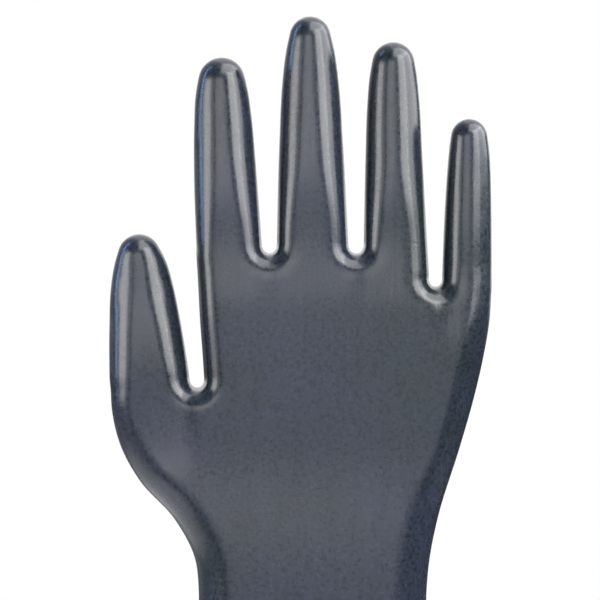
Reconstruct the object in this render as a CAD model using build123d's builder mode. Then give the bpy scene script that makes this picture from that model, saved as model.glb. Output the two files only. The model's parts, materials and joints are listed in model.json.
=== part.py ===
from build123d import *
import math
import os

# A five-finger insulating rubber glove that stands on the opening of its cuff, in millimetres.
# X runs across the hand towards the little finger, -Y is the palm side and +Z points to the fingertips.
# The origin is the middle of the cuff's opening, on the surface that it stands on.

OUTER_PLY = 1.5
INNER_PLY = 0.8
WALL = OUTER_PLY + INNER_PLY

BEAD_HEIGHT = 5.0
BEAD_OUTSIDE = 1.2
BEAD_INSIDE = 1.0

CUFF_OPENING = (145.0, 64.0, 31.0)  # width, depth and corner radius
CUFF_MIDDLE = (104.0, 50.0, 22.0)
CUFF_MIDDLE_HEIGHT = 62.0

WRIST_HALF_WIDTH = 43.1
WRIST_HALF_DEPTH = 21.0
WRIST_FOLD_BOTTOM = 126.0
WRIST_FOLD_TOP = 152.0
WRIST_NECK = 142.0  # height where the wrist is narrowest and its sides are upright

HEEL_HEIGHT = 178.0  # height where the palm starts
HEEL_HALF_DEPTH = 15.2
TAPER = 0.04  # how fast the hand's half depth shrinks with height
EDGE_ROUND = 5.5
FORM_BOTTOM = 110.0
FORM_TOP = 368.0

# Each digit's outline is the hull of circles (x, z, radius) from its tip down to its root.
DIGIT_CIRCLES = {
    "index": [(-35.0, 336.4, 8.0), (-34.6, 326.0, 10.7), (-31.9, 262.0, 12.7)],
    "middle": [(-0.8, 352.2, 7.8), (-0.8, 341.0, 10.6), (0.2, 255.0, 13.9)],
    "ring": [(30.4, 342.6, 7.5), (30.7, 330.0, 9.8), (31.6, 252.0, 12.3)],
    "little": [(59.3, 314.2, 6.7), (59.2, 306.5, 8.0), (57.7, 246.0, 9.6)],
    "thumb": [(-66.1, 268.6, 8.2), (-64.8, 255.5, 12.0), (-62.3, 228.0, 14.6), (-58.0, 207.0, 13.0)],
}

FINGER_WEB = 269.2  # height of the web between the index, middle and ring fingers
LITTLE_WEB = 256.6
THUMB_WEB = 218.6
WEBS = [(-16.6, FINGER_WEB, 2.7), (16.6, FINGER_WEB, 2.5), (46.2, LITTLE_WEB, 2.2), (-43.7, THUMB_WEB, 2.2)]
WEB_REACH = 3.3  # half the width of the widest gap between two digits

# Each digit folds at two places, (x, z, tilt in degrees, length of the fold). The thumb's knuckle fold slants.
KNUCKLES = {
    "index": (-32.8, 283.5, -2.4, 22.0),
    "middle": (0.0, 284.5, -0.6, 24.0),
    "ring": (31.3, 283.5, -0.9, 22.0),
    "little": (58.6, 269.5, 0.8, 18.0),
    "thumb": (-64.5, 215.2, -34.1, 18.0),
}
CREASES = {
    "index": (-34.2, 317.0, -2.4, 20.0),
    "middle": (-0.5, 325.0, -0.6, 21.0),
    "ring": (30.8, 319.5, -0.9, 20.0),
    "little": (59.0, 296.5, 0.8, 17.0),
    "thumb": (-64.8, 251.5, -3.9, 17.0),
}
# The width of the strip that holds one digit, out to the middle of the gaps beside it.
STRIP_WIDTHS = {"index": 31.2, "middle": 33.2, "ring": 29.6, "little": 24.6, "thumb": 37.8}
BOX_DEPTH = 80.0
BOX_LENGTH = 300.0


def hand_outline(inset):
    """The hand's front outline, shrunk by inset: the palm, five digits and the rounded webs between them."""

    def edge(x, z, inward_x, inward_z):
        return (x + inset * inward_x, z + inset * inward_z)

    heel_turn = math.radians(44.5)
    side_lean = math.radians(16.7)
    wrist = WRIST_HALF_WIDTH
    thumb_heel = edge(-54.8, 170.5, math.cos(heel_turn), math.sin(heel_turn))
    thumb_root = edge(-75.8, 225.0, 1, 0)
    little_root = edge(67.1, LITTLE_WEB, -1, -1)
    side_top = edge(60.4, 213.0, -math.cos(side_lean), math.sin(side_lean))
    side_bottom = edge(48.6, 174.0, -math.cos(side_lean), math.sin(side_lean))
    with BuildSketch(Plane.XZ) as outline:
        with BuildLine():
            Line(edge(-wrist, FORM_BOTTOM, 1, 0), edge(-wrist, WRIST_NECK, 1, 0))
            RadiusArc(edge(-wrist, WRIST_NECK, 1, 0), thumb_heel, -41 - inset)
            RadiusArc(thumb_heel, thumb_root, 78 - inset)
            Polyline(
                thumb_root,
                edge(-60, THUMB_WEB, 0, -1),
                edge(-41.1, THUMB_WEB, 1, -1),
                edge(-44, FINGER_WEB, 1, -1),
                edge(32, FINGER_WEB, 0, -1),
                edge(32, LITTLE_WEB, 0, -1),
                little_root,
            )
            RadiusArc(little_root, side_top, 167 - inset)
            Line(side_top, side_bottom)
            RadiusArc(side_bottom, edge(wrist, WRIST_NECK, -1, 0), -118 - inset)
            Polyline(
                edge(wrist, WRIST_NECK, -1, 0),
                edge(wrist, FORM_BOTTOM, -1, 0),
                edge(-wrist, FORM_BOTTOM, 1, 0),
            )
        make_face()
        for circles in DIGIT_CIRCLES.values():
            with BuildSketch(mode=Mode.PRIVATE) as digit:
                for x, z, radius in circles:
                    with Locations((x, z)):
                        Circle(radius - inset)
                make_hull()
            add(digit.sketch)
        for x, z, radius in WEBS:
            near = outline.vertices().filter_by(
                lambda v: abs(v.X - x) < WEB_REACH + inset and abs(v.Y - z + inset) < 0.1
            )
            fillet(near, radius + 0.75 * inset)
    return outline.sketch


def side_profile(inset):
    """The hand seen from the side, shrunk by inset: an upright wrist, then a straight taper to the fingertips."""
    wrist = WRIST_HALF_DEPTH - inset
    heel = HEEL_HALF_DEPTH - inset
    tip = heel - TAPER * (FORM_TOP - HEEL_HEIGHT)
    with BuildSketch(Plane.YZ) as profile:
        with BuildLine():
            Line((0, FORM_BOTTOM), (wrist, FORM_BOTTOM))
            Line((wrist, FORM_BOTTOM), (wrist, WRIST_NECK))
            Spline((wrist, WRIST_NECK), (heel, HEEL_HEIGHT), tangents=[(0, 1), (-TAPER, 1)])
            Polyline((heel, HEEL_HEIGHT), (tip, FORM_TOP), (0, FORM_TOP), (0, FORM_BOTTOM))
        make_face()
        mirror(about=Plane.YZ)
    return profile.sketch


def hand_form(inset):
    """The solid hand, shrunk by inset, with its long edges rounded."""
    with BuildPart() as form:
        extrude(hand_outline(inset), amount=BOX_DEPTH / 2, both=True)
        extrude(side_profile(inset), amount=BOX_DEPTH * 2, both=True, mode=Mode.INTERSECT)
        faces = form.faces().filter_by(lambda face: abs(face.normal_at().Y) > 0.8)
        rims = ShapeList(edge for face in faces for edge in face.edges())
        across = rims.filter_by(Axis.X).filter_by(lambda edge: edge.length > 2 * WEB_REACH)
        fillet(rims - across, EDGE_ROUND - inset)
    return form.part


def cuff_form(inset):
    """The solid cuff, shrunk by inset: it flares from the wrist to the opening."""
    sections = [
        (BEAD_HEIGHT, *CUFF_OPENING),
        (CUFF_MIDDLE_HEIGHT, *CUFF_MIDDLE),
        (WRIST_FOLD_BOTTOM, 2 * WRIST_HALF_WIDTH, 2 * WRIST_HALF_DEPTH, EDGE_ROUND),
    ]
    with BuildPart() as form:
        for height, width, depth, corner in sections:
            with BuildSketch(Plane.XY.offset(height)):
                RectangleRounded(width - 2 * inset, depth - 2 * inset, corner - inset)
        loft()
    return form.part


def fold_plane(fold, side):
    """The plane across a digit at one end of a fold: side is -1 below it and 1 above it."""
    x, z, tilt, length = fold
    lean = math.radians(tilt)
    along = Vector(math.sin(lean), 0, math.cos(lean))
    return Plane(Vector(x, 0, z) + along * (side * length / 2), x_dir=(math.cos(lean), 0, -math.sin(lean)), z_dir=along)


def digit_zone(digit):
    """A block that holds all of a digit above the bottom of its knuckle fold."""
    with BuildPart(fold_plane(CREASES[digit], 0)) as zone:
        Box(STRIP_WIDTHS[digit], BOX_DEPTH, BOX_LENGTH)
        split(bisect_by=fold_plane(KNUCKLES[digit], -1), keep=Keep.TOP)
    return zone.part


def write(solid, name):
    solid.label = name
    export_step(solid, f"parts/{name}.step")


os.makedirs("parts", exist_ok=True)

hand_forms = [hand_form(inset) for inset in (0, OUTER_PLY, WALL)]
cuff_forms = [cuff_form(inset) for inset in (0, OUTER_PLY, WALL)]
zones = {digit: digit_zone(digit) for digit in KNUCKLES}

for layer, ply in enumerate(("outer", "inner")):
    with BuildPart() as cuff:
        add(cuff_forms[layer])
        add(cuff_forms[layer + 1], mode=Mode.SUBTRACT)
    write(cuff.part, f"cuff_{ply}")

    with BuildPart() as hand:
        add(hand_forms[layer])
        add(hand_forms[layer + 1], mode=Mode.SUBTRACT)
        split(bisect_by=Plane.XY.offset(WRIST_FOLD_BOTTOM), keep=Keep.TOP)

    with BuildPart() as wrist:
        add(hand.part)
        split(bisect_by=Plane.XY.offset(WRIST_FOLD_TOP), keep=Keep.BOTTOM)
    write(wrist.part, f"wrist_{ply}")

    with BuildPart() as palm:
        add(hand.part)
        split(bisect_by=Plane.XY.offset(WRIST_FOLD_TOP), keep=Keep.TOP)
        for zone in zones.values():
            add(zone, mode=Mode.SUBTRACT)
    write(palm.part, f"palm_{ply}")

    for digit, zone in zones.items():
        knuckle_top = fold_plane(KNUCKLES[digit], 1)
        crease_bottom = fold_plane(CREASES[digit], -1)
        crease_top = fold_plane(CREASES[digit], 1)

        with BuildPart() as knuckle:
            add(hand.part)
            add(zone, mode=Mode.INTERSECT)
            split(bisect_by=knuckle_top, keep=Keep.BOTTOM)
        write(knuckle.part, f"{digit}_knuckle_{ply}")

        with BuildPart() as lower:
            add(hand.part)
            add(zone, mode=Mode.INTERSECT)
            split(bisect_by=knuckle_top, keep=Keep.TOP)
            split(bisect_by=crease_bottom, keep=Keep.BOTTOM)
        write(lower.part, f"{digit}_lower_{ply}")

        with BuildPart() as crease:
            add(hand.part)
            add(zone, mode=Mode.INTERSECT)
            split(bisect_by=crease_bottom, keep=Keep.TOP)
            split(bisect_by=crease_top, keep=Keep.BOTTOM)
        write(crease.part, f"{digit}_crease_{ply}")

        with BuildPart() as tip:
            add(hand.part)
            add(zone, mode=Mode.INTERSECT)
            split(bisect_by=crease_top, keep=Keep.TOP)
        write(tip.part, f"{digit}_tip_{ply}")

with BuildPart() as bead:
    width, depth, corner = CUFF_OPENING
    with BuildSketch():
        RectangleRounded(width + 2 * BEAD_OUTSIDE, depth + 2 * BEAD_OUTSIDE, corner + BEAD_OUTSIDE)
        shrink = WALL + BEAD_INSIDE
        RectangleRounded(width - 2 * shrink, depth - 2 * shrink, corner - shrink, mode=Mode.SUBTRACT)
    extrude(amount=BEAD_HEIGHT)
    fillet(bead.faces().sort_by(Axis.Z)[0].edges() + bead.faces().sort_by(Axis.Z)[-1].edges(), BEAD_INSIDE)
write(bead.part, "cuff_bead")
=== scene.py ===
import bpy
import bmesh
import json
import math
import numpy as np
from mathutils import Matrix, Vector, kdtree


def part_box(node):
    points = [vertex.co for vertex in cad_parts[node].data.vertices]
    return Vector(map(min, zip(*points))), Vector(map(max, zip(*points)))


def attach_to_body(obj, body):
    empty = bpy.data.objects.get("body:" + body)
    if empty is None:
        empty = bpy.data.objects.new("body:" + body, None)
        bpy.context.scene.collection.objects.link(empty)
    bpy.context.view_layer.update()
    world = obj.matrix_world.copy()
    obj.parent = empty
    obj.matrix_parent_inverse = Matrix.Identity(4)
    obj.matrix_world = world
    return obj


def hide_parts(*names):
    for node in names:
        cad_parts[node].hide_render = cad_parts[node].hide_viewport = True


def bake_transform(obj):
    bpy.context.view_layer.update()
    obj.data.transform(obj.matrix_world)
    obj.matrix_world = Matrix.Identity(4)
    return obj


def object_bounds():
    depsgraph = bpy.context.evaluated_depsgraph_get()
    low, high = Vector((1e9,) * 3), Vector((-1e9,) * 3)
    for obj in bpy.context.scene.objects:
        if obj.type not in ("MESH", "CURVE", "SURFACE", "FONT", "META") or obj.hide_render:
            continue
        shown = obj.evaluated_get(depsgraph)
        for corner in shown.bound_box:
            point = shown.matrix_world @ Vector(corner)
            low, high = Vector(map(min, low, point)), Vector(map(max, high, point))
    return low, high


# An insulating rubber glove standing on its cuff, in metres, in the CAD frame: +X towards the little finger,
# -Y out of the palm, +Z to the fingertips. One smooth surface is worked out from the outline and depths
# below, placed by the frame's joints and boxes. It is cut into pieces and thickened into two plies.

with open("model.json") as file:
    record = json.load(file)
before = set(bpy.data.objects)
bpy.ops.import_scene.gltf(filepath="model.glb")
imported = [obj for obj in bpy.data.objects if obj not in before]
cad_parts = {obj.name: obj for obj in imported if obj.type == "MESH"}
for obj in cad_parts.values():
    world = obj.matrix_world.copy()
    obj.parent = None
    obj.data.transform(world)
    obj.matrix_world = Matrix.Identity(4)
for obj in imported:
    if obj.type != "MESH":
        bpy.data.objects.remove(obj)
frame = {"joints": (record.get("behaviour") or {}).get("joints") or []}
CAD_LOW, CAD_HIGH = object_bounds()
JOINTS = {joint["name"]: joint for joint in frame["joints"]}

OUTER_PLY = 0.0015
WALL = 0.0023
CUFF_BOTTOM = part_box("cuff_outer")[0].z
OPENING_HALF_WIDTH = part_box("cuff_outer")[1].x
OPENING_HALF_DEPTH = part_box("cuff_outer")[1].y
OPENING_CORNER = 0.031  # the radius of its corners, seen from below
BEAD_RADIUS = 0.0023
BEAD_FOOT = 0.44  # from the bead's middle down to its flat foot, as a share of its height
BEAD_SIDES = 20
WRIST_HALF_WIDTH = 0.0431
WRIST_HALF_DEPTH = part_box("wrist_outer")[1].y
WRIST_NECK = 0.142
WIDTH_FLARE_POWER = 2.2
DEPTH_FLARE_POWER = 1.9
HEEL_HEIGHT = 0.178
HEEL_HALF_DEPTH = 0.0148
HEEL_BLEND = 0.022
HAND_TAPER = 0.028

# Each digit is a smooth chain of circles from its tip down: how far beyond the crease fold's middle, how far
# to the right of its axis, and the radius.
DIGITS = {
    "index": [
        (0.0184, 0.0006, 0.0089),
        (0.0125, 0.0005, 0.0101),
        (0.0030, 0.0005, 0.0110),
        (-0.0170, 0.0005, 0.0119),
        (-0.0550, 0.0010, 0.0126),
    ],
    "middle": [
        (0.0270, 0.0000, 0.0079),
        (0.0195, 0.0000, 0.0095),
        (0.0090, 0.0000, 0.0108),
        (-0.0130, 0.0000, 0.0121),
        (-0.0630, 0.0002, 0.0140),
    ],
    "ring": [
        (0.0225, 0.0004, 0.0081),
        (0.0165, 0.0003, 0.0091),
        (0.0065, 0.0002, 0.0100),
        (-0.0145, 0.0001, 0.0109),
        (-0.0575, 0.0002, 0.0125),
    ],
    "little": [
        (0.0175, 0.0004, 0.0070),
        (0.0120, 0.0005, 0.0077),
        (0.0035, 0.0005, 0.0083),
        (-0.0115, 0.0004, 0.0089),
        (-0.0400, 0.0003, 0.0095),
    ],
    "thumb": [
        (0.0175, 0.0003, 0.0082),
        (0.0115, 0.0005, 0.0104),
        (0.0040, 0.0005, 0.0120),
        (-0.0075, 0.0007, 0.0134),
        (-0.0225, 0.0009, 0.0147),
        (-0.0300, 0.0010, 0.0151),
        (-0.0430, 0.0014, 0.0130),
    ],
}
DIGIT_DEPTHS = {  # half depth at the knuckle fold and near the tip
    "index": (0.0112, 0.0088),
    "middle": (0.0114, 0.0090),
    "ring": (0.0110, 0.0085),
    "little": (0.0103, 0.0084),
    "thumb": (0.0122, 0.0088),
}
FOLDS = {  # length of the knuckle fold and of the crease fold
    "index": (0.022, 0.020),
    "middle": (0.024, 0.021),
    "ring": (0.022, 0.020),
    "little": (0.018, 0.017),
    "thumb": (0.018, 0.017),
}
TIP_TAPER = (-0.035, 0.022)  # where a digit's depth changes, from its crease fold
ROOT_BLEND = (-0.036, -0.002)  # where the palm's depth turns into the digit's, from its knuckle fold
BESIDE_FADE = 0.003

# Where the surface is cut: above the knuckle fold's bottom, below the thumb's crease fold, and how far the
# strip that holds a digit reaches beyond its widest circle.
ROOT_CUT_LIFT = 0.0008
THUMB_CUT_DROP = 0.001
FINGER_STRIP = 0.0028
THUMB_STRIP = 0.0040
CUT_REACH = 0.004
CUT_SNAP = 0.0002

# The bottoms of the gaps between the digits.
FINGER_WEB = 0.2698
LITTLE_WEB = 0.2571
THUMB_WEB = 0.2188
THUMB_WEB_X = -0.0437
THUMB_WEB_RADIUS = 0.0027
THUMB_ROOT = (-0.0600, 0.2260)
WEB_WALL_HEIGHT = 0.003

# The palm's outer edges, upwards from the wrist, and the edge from the thumb's web up to the index finger.
OUTLINE_BOTTOM = -0.012
SIDE_START = 0.130
THUMB_SIDE = [
    (-0.0431, 0.1420),
    (-0.0444, 0.1535),
    (-0.0520, 0.1685),
    (-0.0655, 0.1835),
    (-0.0728, 0.1968),
    (-0.0759, 0.2090),
    (-0.0767, 0.2220),
]
LITTLE_SIDE = [
    (0.0435, 0.1420),
    (0.0446, 0.1535),
    (0.0475, 0.1683),
    (0.0563, 0.1968),
    (0.0612, 0.2139),
    (0.0648, 0.2291),
    (0.0674, 0.2443),
    (0.0683, 0.2600),
]
INDEX_SIDE = [(-0.0410, 0.2217), (-0.0416, 0.2310), (-0.0426, 0.2443), (-0.0434, 0.2595), (-0.0441, 0.2710)]

FIELD_STEP = 0.0005
NET_STEP = 0.00135
MARGIN = 0.008
OUTLINE_BLUR = 1.5  # in cells of the field, as the two below
DEPTH_BLUR = 4.0
FACE_DROP_BLUR = 3.0
JOIN_BAND = (0.0012, 0.0025)  # how far from the outline its distance is worked out afresh

# The section: drafted walls rounded where they meet, a face that falls a little towards its edge, and a
# corner between them. The corner is wider on the cuff, the heel, the palm's right side and the digits.
WALL_DRAFT = math.tan(math.radians(13.5))
PARTING_ROUND = 0.0030
FACE_DROP = 0.0018
FACE_DROP_REACH = 0.0105
CORNER = 0.0046
CORNER_POWER = 2.15
MOST_CORNER = 0.97  # as a share of the half depth
CUFF_ROUNDING = 0.45  # as a share of the half depth
HEEL_ROUNDING = 0.0050
PALM_SIDE_ROUNDING = 0.0035
DIGIT_ROUNDING = 0.0055
FACE_ROOM = 0.95  # how much of the face's half width a digit's corner may take


def joint_place(name):
    """A hinge's centre, and the direction of the digit across it, as numpy arrays."""
    joint = JOINTS[name]
    axis = np.array(joint["axis"], float)
    return np.array(joint["pos_m"], float), np.array([-axis[2], 0.0, axis[0]])


def smooth_curve(points, steps=8):
    """A smooth curve through some points, with steps pieces between each two."""
    points = np.array(points, float)
    gaps = np.linalg.norm(np.diff(points, axis=0), axis=1)
    slopes = np.diff(points, axis=0) / gaps[:, None]
    share = (gaps[1:] / (gaps[:-1] + gaps[1:]))[:, None]
    tangents = np.concatenate([slopes[:1], slopes[:-1] * share + slopes[1:] * (1 - share), slopes[-1:]])
    curve = [points[0]]
    for start, end, gap, leave, arrive in zip(points, points[1:], gaps, tangents, tangents[1:]):
        for t in np.linspace(0, 1, steps + 1)[1:]:
            go, stop = (1 + 2 * t) * (1 - t) ** 2, t * t * (3 - 2 * t)
            swing = t * (1 - t) ** 2 * leave + t * t * (t - 1) * arrive
            curve.append(go * start + stop * end + gap * swing)
    return curve


def digit_circles(digit):
    """The digit's circles, close together, as (centre, radius)."""
    centre, along = joint_place(f"{digit}_crease_fold")
    right = np.array([along[2], 0.0, -along[0]])
    chain = smooth_curve(DIGITS[digit])
    return [(centre + along * reach + right * aside, radius) for reach, aside, radius in chain]


def widest(digit):
    return max(radius for _, _, radius in DIGITS[digit])


def wall_at(digit, z, side):
    """Where the digit's outline is at height z: side is -1 for its left wall and 1 for its right wall."""
    circles = digit_circles(digit)
    heights = [point[2] for point, _ in circles][::-1]
    middle = np.interp(z, heights, [point[0] for point, _ in circles][::-1])
    return middle + side * np.interp(z, heights, [radius for _, radius in circles][::-1])


def arc(centre, radius, start, end, steps):
    """Points on an arc in the XZ plane, angles in degrees."""
    angles = np.radians(np.linspace(start, end, steps))
    return [(centre[0] + radius * math.cos(a), centre[1] + radius * math.sin(a)) for a in angles]


def cuff_flare(z):
    """0 at the wrist's neck and 1 at the opening."""
    return np.clip((WRIST_NECK - z) / (WRIST_NECK - CUFF_BOTTOM), 0, 2)


def cuff_half_width(z):
    return WRIST_HALF_WIDTH + (OPENING_HALF_WIDTH - WRIST_HALF_WIDTH) * cuff_flare(z) ** WIDTH_FLARE_POWER


def web_arc(left, right, web):
    """The round bottom of the gap between two digits."""
    low = web + WEB_WALL_HEIGHT
    a, b = wall_at(left, low, 1), wall_at(right, low, -1)
    radius = (b - a) / 2
    return arc(((a + b) / 2, web + radius), radius, 180, 360, 17)


def palm_outline():
    """The cuff, wrist and palm as one closed XZ outline, up the thumb's side and down the other."""
    cuff = [(float(cuff_half_width(z)), z) for z in np.linspace(OUTLINE_BOTTOM, SIDE_START, 36)]
    thumb_side = smooth_curve([(-cuff[-1][0], SIDE_START), *THUMB_SIDE])
    little_side = smooth_curve([(cuff[-1][0], SIDE_START), *LITTLE_SIDE])
    return [
        *[(-x, z) for x, z in cuff[:-1]],
        *thumb_side,
        THUMB_ROOT,
        *arc((THUMB_WEB_X, THUMB_WEB + THUMB_WEB_RADIUS), THUMB_WEB_RADIUS, 180, 360, 17),
        *smooth_curve(INDEX_SIDE),
        *web_arc("index", "middle", FINGER_WEB),
        *web_arc("middle", "ring", FINGER_WEB),
        *web_arc("ring", "little", LITTLE_WEB),
        *little_side[::-1],
        *cuff[-2::-1],
    ]


def polygon_inside(x, z, points):
    """Signed distance from a closed outline, positive inside it."""
    distance = np.full(x.shape, np.inf)
    inside = np.zeros(x.shape, bool)
    for (ax, az), (bx, bz) in zip(points, points[1:] + points[:1]):
        ex, ez = bx - ax, bz - az
        length = ex * ex + ez * ez
        if length < 1e-14:
            continue
        t = np.clip(((x - ax) * ex + (z - az) * ez) / length, 0, 1)
        distance = np.minimum(distance, np.hypot(x - ax - t * ex, z - az - t * ez))
        if az != bz:
            crossing = (az > z) != (bz > z)
            inside ^= crossing & (x < ax + (z - az) * ex / ez)
    return np.where(inside, distance, -distance)


def digit_inside(x, z, digit):
    """Signed distance from a digit's outline, positive inside it."""
    best = np.full(x.shape, -np.inf)
    circles = digit_circles(digit)
    for (a, ra), (b, rb) in zip(circles, circles[1:]):
        ex, ez = b[0] - a[0], b[2] - a[2]
        length, growth = math.hypot(ex, ez), rb - ra
        beside = np.abs((x - a[0]) * ez - (z - a[2]) * ex) / length
        lean = beside * growth / math.sqrt(length**2 - growth**2)
        t = np.clip((((x - a[0]) * ex + (z - a[2]) * ez) / length + lean) / length, 0, 1)
        best = np.maximum(best, ra + growth * t - np.hypot(x - a[0] - t * ex, z - a[2] - t * ez))
    return best


def blurred(field, sigma):
    """A Gaussian blur along both axes of a 2D field, sigma in cells."""
    reach = int(math.ceil(3 * sigma))
    weights = np.exp(-0.5 * (np.arange(-reach, reach + 1) / sigma) ** 2)
    weights /= weights.sum()
    for axis in (0, 1):
        pads = [(reach, reach) if i == axis else (0, 0) for i in (0, 1)]
        padded = np.pad(field, pads, mode="edge")
        count = field.shape[axis]
        field = sum(w * np.take(padded, range(i, i + count), axis=axis) for i, w in enumerate(weights))
    return field


def smooth_step(value, low, high):
    t = np.clip((value - low) / (high - low), 0, 1)
    return t * t * (3 - 2 * t)


def section_value(y, inside, depth, corner):
    """How far a point is inside the section: drafted side walls and a flat face, with a round corner."""
    out = np.sqrt(y * y + PARTING_ROUND**2) - PARTING_ROUND
    wall = (inside - out * WALL_DRAFT) * math.cos(math.atan(WALL_DRAFT))
    face = depth - np.abs(y)
    short = np.maximum(corner - wall, 0) ** CORNER_POWER + np.maximum(corner - face, 0) ** CORNER_POWER
    return corner - short ** (1 / CORNER_POWER)


def band_step(value, low, high, softness):
    """1 between two values, falling smoothly to 0 just outside the low one and just inside the high one."""
    return smooth_step(value, low - softness, low) * (1 - smooth_step(value, high - softness, high))


def on_digit(beside, digit):
    """1 on a digit and 0 beside it, from the distance to its axis."""
    return 1 - smooth_step(beside, widest(digit), widest(digit) + BESIDE_FADE)


class Fields:
    """The glove seen from the front, on a grid: distance inside, half depth and corner at each point."""

    def __init__(self):
        self.low = (CAD_LOW.x - MARGIN, -MARGIN)
        counts = (
            int((CAD_HIGH.x - CAD_LOW.x + 2 * MARGIN) / FIELD_STEP) + 1,
            int((CAD_HIGH.z + 2 * MARGIN) / FIELD_STEP) + 1,
        )
        x = self.low[0] + FIELD_STEP * np.arange(counts[0])
        z = self.low[1] + FIELD_STEP * np.arange(counts[1])
        self.x, self.z = np.meshgrid(x, z, indexing="ij")
        outline = polygon_inside(self.x, self.z, palm_outline())
        for digit in DIGITS:
            outline = np.maximum(outline, digit_inside(self.x, self.z, digit))
        self.inside = blurred(self.true_distance(outline), OUTLINE_BLUR)
        self.depth = blurred(self.half_depth(), DEPTH_BLUR)
        self.corner = CORNER + self.corner_growth()
        inwards = np.clip(blurred(self.inside, FACE_DROP_BLUR) / FACE_DROP_REACH, 0, 1)
        self.depth -= FACE_DROP * (1 - inwards) ** 2
        self.corner = np.minimum(self.corner, MOST_CORNER * self.depth)

    def from_hinge(self, name):
        """How far each point is beyond a hinge, along its digit, and how far beside it."""
        centre, along = joint_place(name)
        x, z = self.x - centre[0], self.z - centre[2]
        return x * along[0] + z * along[2], np.abs(x * along[2] - z * along[0])

    def true_distance(self, outline):
        """The distance from the whole outline, from the points where the joined fields change sign."""
        points = []
        for axis in (0, 1):
            first = np.take(outline, range(outline.shape[axis] - 1), axis=axis)
            second = np.take(outline, range(1, outline.shape[axis]), axis=axis)
            i, j = np.nonzero((first > 0) != (second > 0))
            t = first[i, j] / (first[i, j] - second[i, j])
            x = self.x[i, j] + (t * FIELD_STEP if axis == 0 else 0)
            z = self.z[i, j] + (t * FIELD_STEP if axis == 1 else 0)
            points.append(np.stack([x, z], axis=1))
        points = np.concatenate(points)
        tree = kdtree.KDTree(len(points))
        for index, (x, z) in enumerate(points):
            tree.insert((x, 0, z), index)
        tree.balance()
        flat = [tree.find((x, 0, z))[2] for x, z in zip(self.x.ravel(), self.z.ravel())]
        far = np.array(flat).reshape(self.x.shape) * np.sign(outline)
        near = smooth_step(np.abs(far), *JOIN_BAND)
        return outline + (far - outline) * near

    def half_depth(self):
        z = self.z
        widening = (OPENING_HALF_DEPTH - WRIST_HALF_DEPTH) * cuff_flare(z) ** DEPTH_FLARE_POWER
        cuff = WRIST_HALF_DEPTH + widening
        palm = HEEL_HALF_DEPTH - HAND_TAPER * (z - HEEL_HEIGHT)
        depth = cuff + (palm - cuff) * smooth_step(z, WRIST_NECK - HEEL_BLEND, HEEL_HEIGHT + HEEL_BLEND)
        for digit, (root_depth, tip_depth) in DIGIT_DEPTHS.items():
            reach, beside = self.from_hinge(f"{digit}_crease_fold")
            rise, _ = self.from_hinge(f"{digit}_knuckle_fold")
            own = root_depth + (tip_depth - root_depth) * smooth_step(reach, *TIP_TAPER)
            share = smooth_step(rise, *ROOT_BLEND) * on_digit(beside, digit)
            depth = depth + (own - depth) * share
        return depth

    def corner_growth(self):
        """How much wider than CORNER the rounding is."""
        cuff = CUFF_ROUNDING * self.depth * smooth_step(WRIST_NECK - self.z, 0, 0.110)
        heel = HEEL_ROUNDING * smooth_step(0.215 - self.z, 0, 0.045)
        right = PALM_SIDE_ROUNDING * smooth_step(self.x, 0.042, 0.056)
        growth = cuff + heel + right * band_step(self.z, 0.215, 0.268, 0.045)
        for digit, chain in DIGITS.items():
            reach, beside = self.from_hinge(f"{digit}_crease_fold")
            tip = chain[0][0]
            share = 0.6 * smooth_step(reach, -0.050, -0.015)
            share = share + 0.4 * smooth_step(reach, tip - 0.040, tip + 0.004)
            reaches, radii = [c[0] for c in chain[::-1]], [c[2] for c in chain[::-1]]
            face_room = FACE_ROOM * (np.interp(reach, reaches, radii) - WALL_DRAFT * self.depth)
            mine = np.minimum(DIGIT_ROUNDING * share, face_room - CORNER)
            growth = growth + mine * on_digit(beside, digit) * (share > 0)
        return growth

    def sample(self, x, z, *grids):
        """Bilinear values of some of the grids at points."""
        u = np.clip((x - self.low[0]) / FIELD_STEP, 0, self.x.shape[0] - 1.001)
        v = np.clip((z - self.low[1]) / FIELD_STEP, 0, self.x.shape[1] - 1.001)
        i, j = u.astype(int), v.astype(int)
        u, v = u - i, v - j
        values = []
        for grid in grids:
            left = (1 - v) * grid[i, j] + v * grid[i, j + 1]
            right = (1 - v) * grid[i + 1, j] + v * grid[i + 1, j + 1]
            values.append((1 - u) * left + u * right)
        return values

    def value(self, points):
        """The glove's implicit surface: about the distance inside it, zero on it."""
        grids = self.sample(points[:, 0], points[:, 2], self.inside, self.depth, self.corner)
        return section_value(points[:, 1], *grids)

    def gradient(self, points, reach=0.0003):
        rises = [self.value(points + aside) - self.value(points - aside) for aside in np.eye(3) * reach]
        return np.stack(rises, axis=1) / (2 * reach)


def edge_crossings(solid, axis):
    """Which grid edges along an axis the surface crosses, and where their two ends are."""
    first, second = [slice(None)] * 3, [slice(None)] * 3
    first[axis], second[axis] = slice(None, -1), slice(1, None)
    first, second = tuple(first), tuple(second)
    return solid[first] != solid[second], first, second


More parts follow.
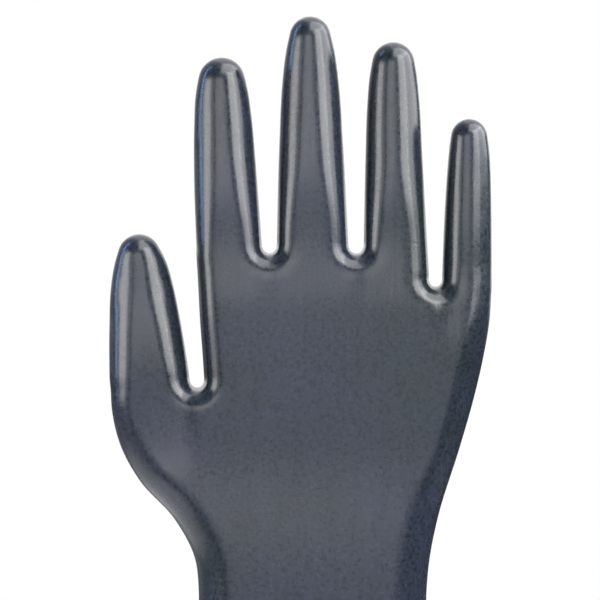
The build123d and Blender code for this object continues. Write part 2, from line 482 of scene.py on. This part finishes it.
def net_points(value, low):
    """A point in each grid cell that the surface crosses, and each cell's point number, or -1."""
    solid = value > 0
    cell_shape = tuple(count - 1 for count in value.shape)
    total = np.zeros(cell_shape + (3,))
    crossings = np.zeros(cell_shape, int)
    for axis in range(3):
        cross, first, second = edge_crossings(solid, axis)
        part = np.where(cross, value[first] / np.where(cross, value[first] - value[second], 1), 0)
        others = [i for i in range(3) if i != axis]
        for shift in ((0, 0), (0, 1), (1, 0), (1, 1)):
            take, offset = [slice(None)] * 3, [0.0, 0.0, 0.0]
            for i, s in zip(others, shift):
                take[i], offset[i] = slice(s, s + cell_shape[i]), s
            take = tuple(take)
            crossings += cross[take]
            for i in range(3):
                total[..., i] += np.where(cross[take], part[take] if i == axis else offset[i], 0)
    used = crossings > 0
    index = np.full(cell_shape, -1)
    index[used] = np.arange(used.sum())
    return low + NET_STEP * (np.argwhere(used) + total[used] / crossings[used][:, None]), index


def net_quads(solid, index):
    """A quad across each grid edge that the surface crosses, facing outwards."""
    counts = solid.shape
    quads = []
    for axis in range(3):
        b, c = (axis + 1) % 3, (axis + 2) % 3
        spots = np.argwhere(edge_crossings(solid, axis)[0])
        keep = (spots[:, b] > 0) & (spots[:, c] > 0)
        keep &= (spots[:, b] < counts[b] - 1) & (spots[:, c] < counts[c] - 1)
        spots = spots[keep]
        corners = []
        for db, dc in ((1, 1), (0, 1), (0, 0), (1, 0)):
            cells = spots.copy()
            cells[:, b] -= db
            cells[:, c] -= dc
            corners.append(index[tuple(cells.T)])
        quad = np.stack(corners, axis=1)
        outward = solid[tuple(spots.T)]
        quads.append(np.where(outward[:, None], quad, quad[:, ::-1]))
    quads = np.concatenate(quads)
    return quads[(quads >= 0).all(axis=1)]


def surface_net(fields):
    """Vertices and quads of the implicit surface on a regular grid, moved onto it and evened out."""
    low = np.array([CAD_LOW.x - MARGIN / 2, CAD_LOW.y - MARGIN / 2, -MARGIN / 2])
    high = np.array([CAD_HIGH.x + MARGIN / 2, CAD_HIGH.y + MARGIN / 2, CAD_HIGH.z + MARGIN / 2])
    counts = ((high - low) / NET_STEP).astype(int) + 2
    axes = [low[i] + NET_STEP * np.arange(counts[i]) for i in range(3)]
    x, z = np.meshgrid(axes[0], axes[2], indexing="ij")
    grids = fields.sample(x.ravel(), z.ravel(), fields.inside, fields.depth, fields.corner)
    value = section_value(axes[1][None, :, None], *(grid.reshape(x.shape)[:, None, :] for grid in grids))
    points, index = net_points(value, low)
    quads = net_quads(value > 0, index)
    for _ in range(3):
        points = onto_surface(fields, relaxed(points, quads))
    return onto_surface(fields, points), quads


def onto_surface(fields, points):
    for _ in range(3):
        slope = fields.gradient(points)
        points = points - slope * (fields.value(points) / np.maximum((slope**2).sum(axis=1), 0.05))[:, None]
    return points


def relaxed(points, quads):
    """Each point moved half way to the middle of its neighbours."""
    size = len(points)
    total = np.zeros_like(points)
    count = np.zeros(size)
    for i in range(4):
        a, b = quads[:, i], quads[:, (i + 1) % 4]
        for j in range(3):
            total[:, j] += np.bincount(a, points[b, j], size) + np.bincount(b, points[a, j], size)
        count += np.bincount(a, minlength=size) + np.bincount(b, minlength=size)
    return points + 0.5 * (total / np.maximum(count, 1)[:, None] - points)


def strip_half_width(digit):
    """Half of the strip that holds one digit, out to the middle of the gaps beside it."""
    return widest(digit) + (THUMB_STRIP if digit == "thumb" else FINGER_STRIP)


def in_strip(points, digit):
    centre, along = joint_place(f"{digit}_crease_fold")
    lateral = (points[:, 0] - centre[0]) * along[2] - (points[:, 2] - centre[2]) * along[0]
    return np.abs(lateral) < strip_half_width(digit)


def above(points, place, along):
    """How far points are beyond a plane."""
    return (points - place) @ along


def cut_planes(digit):
    """Where a digit's surface is cut: near the bottom of its knuckle fold, and on its lower tube."""
    knuckle, lift = joint_place(f"{digit}_knuckle_fold")
    crease, along = joint_place(f"{digit}_crease_fold")
    root = knuckle - lift * (FOLDS[digit][0] / 2 - ROOT_CUT_LIFT)
    low = knuckle + lift * FOLDS[digit][0] / 2
    high = crease - along * FOLDS[digit][1] / 2
    if digit == "thumb":
        return (root, lift), (high - along * THUMB_CUT_DROP, along)
    return (root, lift), ((low + high) / 2, along)


def cut_surface(points, quads):
    """The surface as a bmesh, trimmed at the cuff's bottom and cut at every digit's planes."""
    bm = bmesh.new()
    verts = [bm.verts.new(p) for p in points]
    for quad in quads:
        bm.faces.new([verts[i] for i in quad])
    bmesh.ops.bisect_plane(
        bm,
        geom=bm.verts[:] + bm.edges[:] + bm.faces[:],
        dist=CUT_SNAP,
        plane_co=(0, 0, CUFF_BOTTOM),
        plane_no=(0, 0, 1),
        clear_inner=True,
    )
    for digit in DIGITS:
        for place, along in cut_planes(digit):
            faces = bm.faces[:]
            centres = np.array([f.calc_center_median() for f in faces])
            near = in_strip(centres, digit) & (np.abs(above(centres, place, along)) < CUT_REACH)
            chosen = [f for f, wanted in zip(faces, near) if wanted]
            edges = {e for f in chosen for e in f.edges}
            corners = {v for f in chosen for v in f.verts}
            bmesh.ops.bisect_plane(
                bm,
                geom=list(corners) + list(edges) + chosen,
                dist=CUT_SNAP,
                plane_co=place,
                plane_no=along,
            )
    return bm


def piece_names(centres):
    """Which piece each face belongs to, from its centre."""
    names = np.full(len(centres), "body", dtype=object)
    for digit in DIGITS:
        (root, lift), (middle, along) = cut_planes(digit)
        mine = in_strip(centres, digit) & (above(centres, root, lift) > 0)
        names[mine] = f"{digit}_base"
        names[mine & (above(centres, middle, along) > 0)] = f"{digit}_end"
    return names


def shell(name, points, normals, faces, near, far, material):
    """A closed layer of rubber between two depths under the surface, near and far."""
    used = sorted({i for face in faces for i in face})
    slot = {old: new for new, old in enumerate(used)}
    count = len(used)
    outside = points[used] - normals[used] * near
    inside = points[used] - normals[used] * far
    edges = {}
    polygons = []
    for face in faces:
        ring = [slot[i] for i in face]
        polygons.append(ring)
        polygons.append([i + count for i in reversed(ring)])
        for a, b in zip(ring, ring[1:] + ring[:1]):
            edges[(a, b)] = edges.get((a, b), 0) + 1
    rim = [(a, b) for a, b in edges if (b, a) not in edges]
    for a, b in rim:
        polygons.append([b, a, a + count, b + count])
    mesh = bpy.data.meshes.new(name)
    mesh.from_pydata(np.concatenate([outside, inside]).tolist(), [], polygons)
    mesh.validate()
    mesh.shade_smooth()
    sharp = {frozenset(pair) for a, b in rim for pair in ((a, b), (a + count, b + count))}
    for edge in mesh.edges:
        if frozenset(edge.vertices) in sharp:
            edge.use_edge_sharp = True
    return linked(name, mesh, material)


def linked(name, mesh, material):
    """A mesh as an object in the scene."""
    mesh.materials.append(material)
    piece = bpy.data.objects.new(name, mesh)
    bpy.context.collection.objects.link(piece)
    return piece


def node_maker(tree):
    """A short way to add a node, set its inputs by name and link others into them."""

    def make(kind, *, inputs=None, **settings):
        node = tree.nodes.new(kind)
        for key, value in settings.items():
            setattr(node, key, value)
        for key, value in (inputs or {}).items():
            if isinstance(value, bpy.types.NodeSocket):
                tree.links.new(value, node.inputs[key])
            else:
                node.inputs[key].default_value = value
        return node

    return make


# Each rubber's dark and pale colour, its specks and its roughness.
RUBBERS = {
    "outer": ((0.011, 0.017, 0.020), (0.016, 0.020, 0.034), (0.004, 0.006, 0.008), 0.23),
    "inner": ((0.33, 0.10, 0.035), (0.45, 0.16, 0.06), (0.16, 0.05, 0.02), 0.55),
    "bead": ((0.030, 0.036, 0.048), (0.046, 0.053, 0.068), (0.012, 0.014, 0.018), 0.42),
}


def empty_material(name):
    """A new material with no nodes, its node tree, and a node maker for it."""
    material = bpy.data.materials.new(name)
    material.use_nodes = True
    material.node_tree.nodes.clear()
    return material, material.node_tree, node_maker(material.node_tree)


def math_node(make, operation, *values):
    return make("ShaderNodeMath", operation=operation, inputs=dict(enumerate(values))).outputs[0]


def ramp(make, value, stops):
    node = make("ShaderNodeValToRGB", inputs={"Fac": value})
    node.color_ramp.interpolation = "EASE"
    for element, (position, grey) in zip(node.color_ramp.elements, stops):
        element.position = position
        element.color = (grey, grey, grey, 1)
    return node.outputs["Color"]


def blend(make, factor, first, second, mode="MIX"):
    inputs = {0: factor, 6: first, 7: second}
    return make("ShaderNodeMix", data_type="RGBA", blend_type=mode, inputs=inputs).outputs[2]


def bump(make, strength, distance, height, **below):
    inputs = {"Strength": strength, "Distance": distance, "Height": height, **below}
    return make("ShaderNodeBump", inputs=inputs).outputs["Normal"]


def rubber(name, dark, pale, speck, roughness):
    """Dipped rubber: soft clouds, a fine mottle, faint runs down the form, small specks and a satin skin."""
    material, tree, make = empty_material(name)
    place = make("ShaderNodeTexCoord").outputs["Object"]
    runs_place = make("ShaderNodeMapping", inputs={"Vector": place, "Scale": (1.0, 1.0, 0.10)}).outputs[0]

    def noise(scale, detail, vector=place):
        inputs = {"Vector": vector, "Scale": scale, "Detail": detail, "Roughness": 0.6}
        return make("ShaderNodeTexNoise", inputs=inputs).outputs["Fac"]

    clouds = noise(16, 3)
    mottle = noise(620, 3)
    runs = noise(160, 3, runs_place)
    grain = noise(2400, 2)
    specks = make("ShaderNodeTexVoronoi", inputs={"Vector": place, "Scale": 210}).outputs["Distance"]

    colour = blend(make, ramp(make, clouds, [(0.32, 0.0), (0.68, 1.0)]), (*dark, 1), (*pale, 1))
    colour = blend(make, 0.75, colour, ramp(make, mottle, [(0.34, 0.50), (0.54, 1.0)]), "MULTIPLY")
    colour = blend(make, 0.30, colour, ramp(make, runs, [(0.38, 0.66), (0.60, 1.0)]), "MULTIPLY")
    colour = blend(make, ramp(make, specks, [(0.045, 0.55), (0.085, 0.0)]), colour, (*speck, 1))

    spread = {"From Min": 0.3, "From Max": 0.7, "To Min": roughness - 0.04, "To Max": roughness + 0.06}
    sheen = make("ShaderNodeMapRange", inputs={"Value": mottle, **spread}).outputs["Result"]
    fine = bump(make, 0.04, 0.00012, grain)
    rough = bump(make, 0.10, 0.00012, mottle, Normal=fine)
    waves = bump(make, 0.12, 0.0010, runs, Normal=rough)
    surface = make(
        "ShaderNodeBsdfPrincipled", inputs={"Base Color": colour, "Roughness": sheen, "Normal": waves}
    )
    output = make("ShaderNodeOutputMaterial")
    tree.links.new(surface.outputs["BSDF"], output.inputs["Surface"])
    return material


def rounded_path(half_width, half_depth, corner):
    """Points round a rounded rectangle, as x, y and the way out."""
    path = []
    for sx, sy, start in ((1, 1, 0), (-1, 1, 90), (-1, -1, 180), (1, -1, 270)):
        for angle in np.radians(np.linspace(start, start + 90, 33)):
            nx, ny = math.cos(angle), math.sin(angle)
            x, y = sx * (half_width - corner) + corner * nx, sy * (half_depth - corner) + corner * ny
            path.append((x, y, nx, ny))
    return path


def bead_roll(material):
    """The rolled edge at the cuff's opening: a roll of rubber that stands on a slightly flattened foot."""
    low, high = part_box("cuff_bead")
    height = high.z - low.z
    inset = high.x - OPENING_HALF_WIDTH
    half_width = OPENING_HALF_WIDTH + inset - BEAD_RADIUS
    half_depth = OPENING_HALF_DEPTH + inset - BEAD_RADIUS
    bm = bmesh.new()
    rows = []
    for x, y, nx, ny in rounded_path(half_width, half_depth, OPENING_CORNER + inset - BEAD_RADIUS):
        row = []
        for turn in np.linspace(0, 2 * math.pi, BEAD_SIDES, endpoint=False):
            out = BEAD_RADIUS * math.cos(turn)
            up = max(0.5 * height * math.sin(turn), -BEAD_FOOT * height)
            row.append(bm.verts.new((x + nx * out, y + ny * out, BEAD_FOOT * height + up)))
        rows.append(row)
    for first, second in zip(rows, rows[1:] + rows[:1]):
        for i in range(BEAD_SIDES):
            j = (i + 1) % BEAD_SIDES
            bm.faces.new([first[i], second[i], second[j], first[j]])
    bmesh.ops.recalc_face_normals(bm, faces=bm.faces[:])
    mesh = bpy.data.meshes.new("cuff_bead_roll")
    bm.to_mesh(mesh)
    bm.free()
    mesh.shade_smooth()
    return linked("cuff_bead_roll", mesh, material)


def make_camera():
    """A long lens straight at the palm; the picture's lower edge crosses the wrist."""
    view_width = 0.228
    distance = 1.5
    aside = -0.0046
    headroom = 0.0061
    sensor = 36
    data = bpy.data.cameras.new("camera")
    data.sensor_width = sensor
    data.lens = sensor * distance / view_width
    camera = bpy.data.objects.new("camera", data)
    camera.location = (aside, -distance, CAD_HIGH.z + headroom - view_width / 2)
    camera.rotation_euler = (math.radians(90), 0, 0)
    bpy.context.collection.objects.link(camera)
    bpy.context.scene.camera = camera


def step(make, value, edge, softness):
    """Rises smoothly from 0 to 1 round an edge."""
    inputs = {"Value": value, "From Min": edge - softness, "From Max": edge + softness}
    return make("ShaderNodeMapRange", interpolation_type="SMOOTHSTEP", inputs=inputs).outputs["Result"]


def band(make, value, low, high, softness):
    """1 between two edges and 0 outside them."""
    fall = math_node(make, "SUBTRACT", 1.0, step(make, value, high, softness))
    return math_node(make, "MULTIPLY", step(make, value, low, softness), fall)


# Soft panels round the glove: from and to in degrees round it (0 is the camera, positive to its right),
# from and to in degrees above the horizon, softness in degrees, brightness and tint.
PANELS = [
    ((-20, 17), (-14, 24), 13, 0.84, (0.98, 1.0, 1.09)),
    ((-20, 17), (-14, 5), 9, 0.46, (0.95, 1.0, 1.16)),
    ((-115, -30), (-40, -3), 9, 0.40, (0.95, 1.0, 1.12)),
    ((-103, -94), (1, 55), 2, 9.0, (0.40, 0.58, 1.0)),
    ((-150, -116), (1, 90), 2, 0.70, (1.0, 1.0, 1.0)),
    ((-185, -150), (1, 90), 4, 1.8, (1.0, 1.0, 1.0)),
    ((-185, -112), (-40, -4), 3, 0.20, (1.0, 1.0, 1.0)),
    ((100, 140), (12, 90), 4, 1.6, (1.0, 1.0, 1.0)),
    ((140, 185), (0, 90), 4, 1.8, (1.0, 1.0, 1.0)),
    ((-2, 118), (36, 95), 6, 5.2, (1.0, 1.0, 1.0)),
    ((-185, 0), (66, 95), 8, 0.4, (1.0, 1.0, 1.0)),
]
AMBIENT = 0.03
# Near softboxes: degrees round the glove, distance, foot, width, height and brightness. The first three
# start near the fingertips' height and the left two at the middle of the palm.
SOFTBOXES = {
    "right_softbox": (45, 0.60, 0.345, 0.40, 0.50, 9.0),
    "side_softbox": (86, 0.50, 0.345, 0.52, 0.44, 5.6),
    "front_softbox": (-12, 1.00, 0.388, 0.62, 0.26, 3.2),
    "left_softbox": (-70, 0.60, 0.215, 0.34, 0.28, 5.4),
    "left_fill": (-58, 0.62, 0.215, 0.50, 0.30, 2.0),
}


def make_world():
    """White behind the glove for the camera, and a ring of soft panels round it for everything else."""
    world = bpy.data.worlds.new("studio")
    bpy.context.scene.world = world
    world.use_nodes = True
    tree = world.node_tree
    tree.nodes.clear()
    make = node_maker(tree)
    way = make("ShaderNodeSeparateXYZ", inputs={"Vector": make("ShaderNodeTexCoord").outputs["Generated"]})
    front = math_node(make, "MULTIPLY", way.outputs["Y"], -1.0)
    turn = math_node(make, "DEGREES", math_node(make, "ARCTAN2", way.outputs["X"], front))
    lift = math_node(make, "DEGREES", math_node(make, "ARCSINE", way.outputs["Z"]))
    light = make("ShaderNodeCombineXYZ", inputs={0: AMBIENT, 1: AMBIENT, 2: AMBIENT}).outputs[0]
    for round_it, above_it, softness, strength, tint in PANELS:
        across = band(make, turn, *round_it, softness)
        up = band(make, lift, *above_it, softness)
        scale = {0: tuple(strength * channel for channel in tint)}
        scale["Scale"] = math_node(make, "MULTIPLY", across, up)
        scaled = make("ShaderNodeVectorMath", operation="SCALE", inputs=scale).outputs[0]
        light = make("ShaderNodeVectorMath", operation="ADD", inputs={0: light, 1: scaled}).outputs[0]
    studio = make("ShaderNodeBackground", inputs={"Color": light, "Strength": 1.0})
    white = make("ShaderNodeBackground", inputs={"Color": (1, 1, 1, 1), "Strength": 1.0})
    seen = make("ShaderNodeLightPath").outputs["Is Camera Ray"]
    mix = make("ShaderNodeMixShader", inputs={0: seen, 1: studio.outputs[0], 2: white.outputs[0]})
    output = make("ShaderNodeOutputWorld")
    tree.links.new(mix.outputs[0], output.inputs["Surface"])


def make_softboxes():
    for name, (degrees, distance, foot, width, height, glow) in SOFTBOXES.items():
        turn = math.radians(degrees)
        data = bpy.data.lights.new(name, "AREA")
        data.shape = "RECTANGLE"
        data.size, data.size_y = width, height
        data.energy = glow * math.pi * width * height
        softbox = bpy.data.objects.new(name, data)
        softbox.location = (distance * math.sin(turn), -distance * math.cos(turn), foot + height / 2)
        softbox.rotation_euler = (math.radians(90), 0, turn)
        softbox.visible_camera = False
        bpy.context.collection.objects.link(softbox)


def make_floor():
    """A pale round floor that fades out before its edge."""
    radius = 0.75
    fade_start = 0.22
    bpy.ops.mesh.primitive_circle_add(vertices=96, radius=radius, fill_type="NGON", location=(0, 0, 0))
    floor = bpy.context.object
    floor.name = "floor"
    material, tree, make = empty_material("floor")
    place = make("ShaderNodeTexCoord").outputs["Object"]
    reach = make("ShaderNodeVectorMath", operation="LENGTH", inputs={0: place}).outputs["Value"]
    fade = make(
        "ShaderNodeMapRange",
        interpolation_type="SMOOTHSTEP",
        inputs={"Value": reach, "From Min": fade_start, "From Max": radius * 0.97},
    ).outputs["Result"]
    pale = make("ShaderNodeBsdfDiffuse", inputs={"Color": (0.72, 0.72, 0.73, 1)})
    clear = make("ShaderNodeBsdfTransparent")
    mix = make("ShaderNodeMixShader", inputs={0: fade, 1: pale.outputs[0], 2: clear.outputs[0]})
    output = make("ShaderNodeOutputMaterial")
    tree.links.new(mix.outputs[0], output.inputs["Surface"])
    floor.data.materials.append(material)


def attach(piece, piece_name, layer):
    """Hides the parts that a ply's piece stands for, its fold's part among them, and bakes its placement
    into its mesh.
    """
    if piece_name == "body":
        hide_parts(f"cuff_{layer}", f"wrist_{layer}", f"palm_{layer}")
        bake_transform(piece)
        return
    digit, end = piece_name.rsplit("_", 1)
    if end == "base":
        fold, part, bodies = "knuckle", "lower", ("hand", f"{digit}_base")
    else:
        fold, part, bodies = "crease", "tip", (f"{digit}_base", f"{digit}_end")
    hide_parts(f"{digit}_{fold}_{layer}", f"{digit}_{part}_{layer}")
    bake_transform(piece)


def build_glove():
    fields = Fields()
    bm = cut_surface(*surface_net(fields))
    bm.verts.index_update()
    points = np.array([v.co for v in bm.verts])
    faces = [[v.index for v in f.verts] for f in bm.faces]
    names = piece_names(np.array([f.calc_center_median() for f in bm.faces]))
    bm.free()
    slope = fields.gradient(points)
    normals = -slope / np.linalg.norm(slope, axis=1)[:, None]

    layers = (("outer", 0.0, OUTER_PLY), ("inner", OUTER_PLY, WALL))
    for layer, near, far in layers:
        material = rubber(f"{layer}_rubber", *RUBBERS[layer])
        for piece_name in ["body"] + [f"{digit}_{end}" for digit in DIGITS for end in ("base", "end")]:
            mine = [faces[i] for i in np.nonzero(names == piece_name)[0]]
            piece = shell(f"{piece_name}_{layer}_ply", points, normals, mine, near, far, material)
            attach(piece, piece_name, layer)
    bead = bead_roll(rubber("bead_rubber", *RUBBERS["bead"]))
    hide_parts("cuff_bead")
    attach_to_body(bead, "cuff")


bpy.context.scene.view_settings.view_transform = "Standard"
make_camera()
make_world()
make_softboxes()
make_floor()
build_glove()
